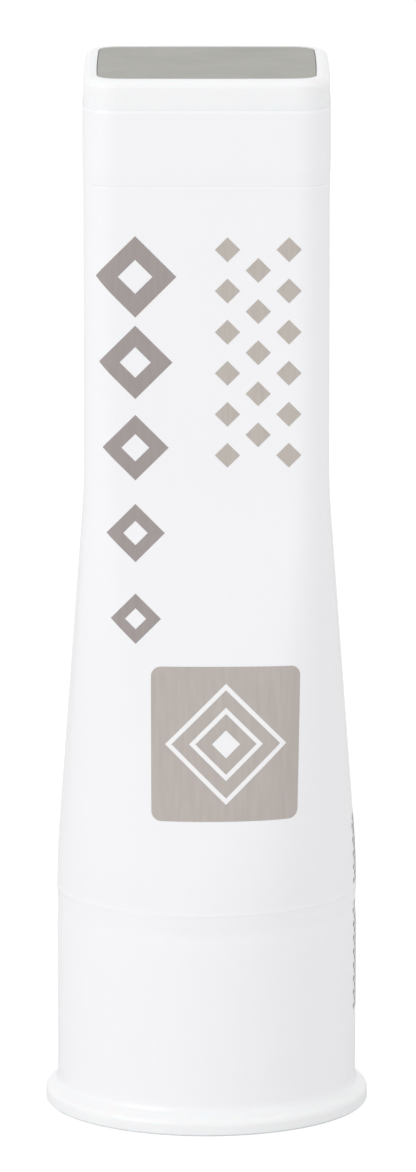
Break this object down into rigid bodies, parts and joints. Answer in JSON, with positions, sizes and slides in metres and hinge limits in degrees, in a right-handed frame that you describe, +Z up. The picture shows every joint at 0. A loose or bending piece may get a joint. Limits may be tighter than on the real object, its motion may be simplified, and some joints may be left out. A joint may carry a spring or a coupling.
{
  "type": "glue stick",
  "caption": "Twist-up glue stick: square knob and lead screw, body that flares to round, square glue bar, push-on cap with a foot flange.",
  "frame": {"origin": "centre of the ring under the cap that the stick stands on", "axes": "+Z up along the stick from the cap to the knob; -Y is the printed front"},
  "size_m": [0.03, 0.03, 0.0977],
  "materials": {
    "moulded_white": "moulded white polypropylene, soft gloss",
    "natural_plastic": "natural polypropylene, milky",
    "screw_white": "moulded white, satin",
    "plate_grey": "grey, fine satin",
    "glue": "soft, slightly translucent, off-white",
    "printed_film": "white printed shrink film, satin gloss"
  },
  "bodies": {
    "cap": {"cap_shell": "moulded_white", "film_cap": "printed_film"},
    "body": {"body_shell": "moulded_white", "barrel": "natural_plastic", "film_body": "printed_film"},
    "knob": {"knob": "moulded_white", "knob_plate": "plate_grey", "spindle": "screw_white", "film_knob": "printed_film"},
    "feed": {"carrier": "screw_white", "glue_block": "glue"}
  },
  "joints": [
    {"name": "body_lift", "type": "slide", "parent": "cap", "child": "body", "axis": [0, 0, 1], "range_m": [0, 0.03]},
    {"name": "knob_turn", "type": "hinge", "parent": "body", "child": "knob", "pos_m": [0, 0, 0.088], "axis": [0, 0, -1], "range_deg": [-2656, 316]},
    {"name": "glue_feed", "type": "slide", "parent": "body", "child": "feed", "axis": [0, 0, -1], "range_m": [-0.03687, 0.00438]}
  ],
  "couplings": [
    {"joint": "knob_turn", "follows": "glue_feed", "rad_per_m": 1256.6}
  ]
}
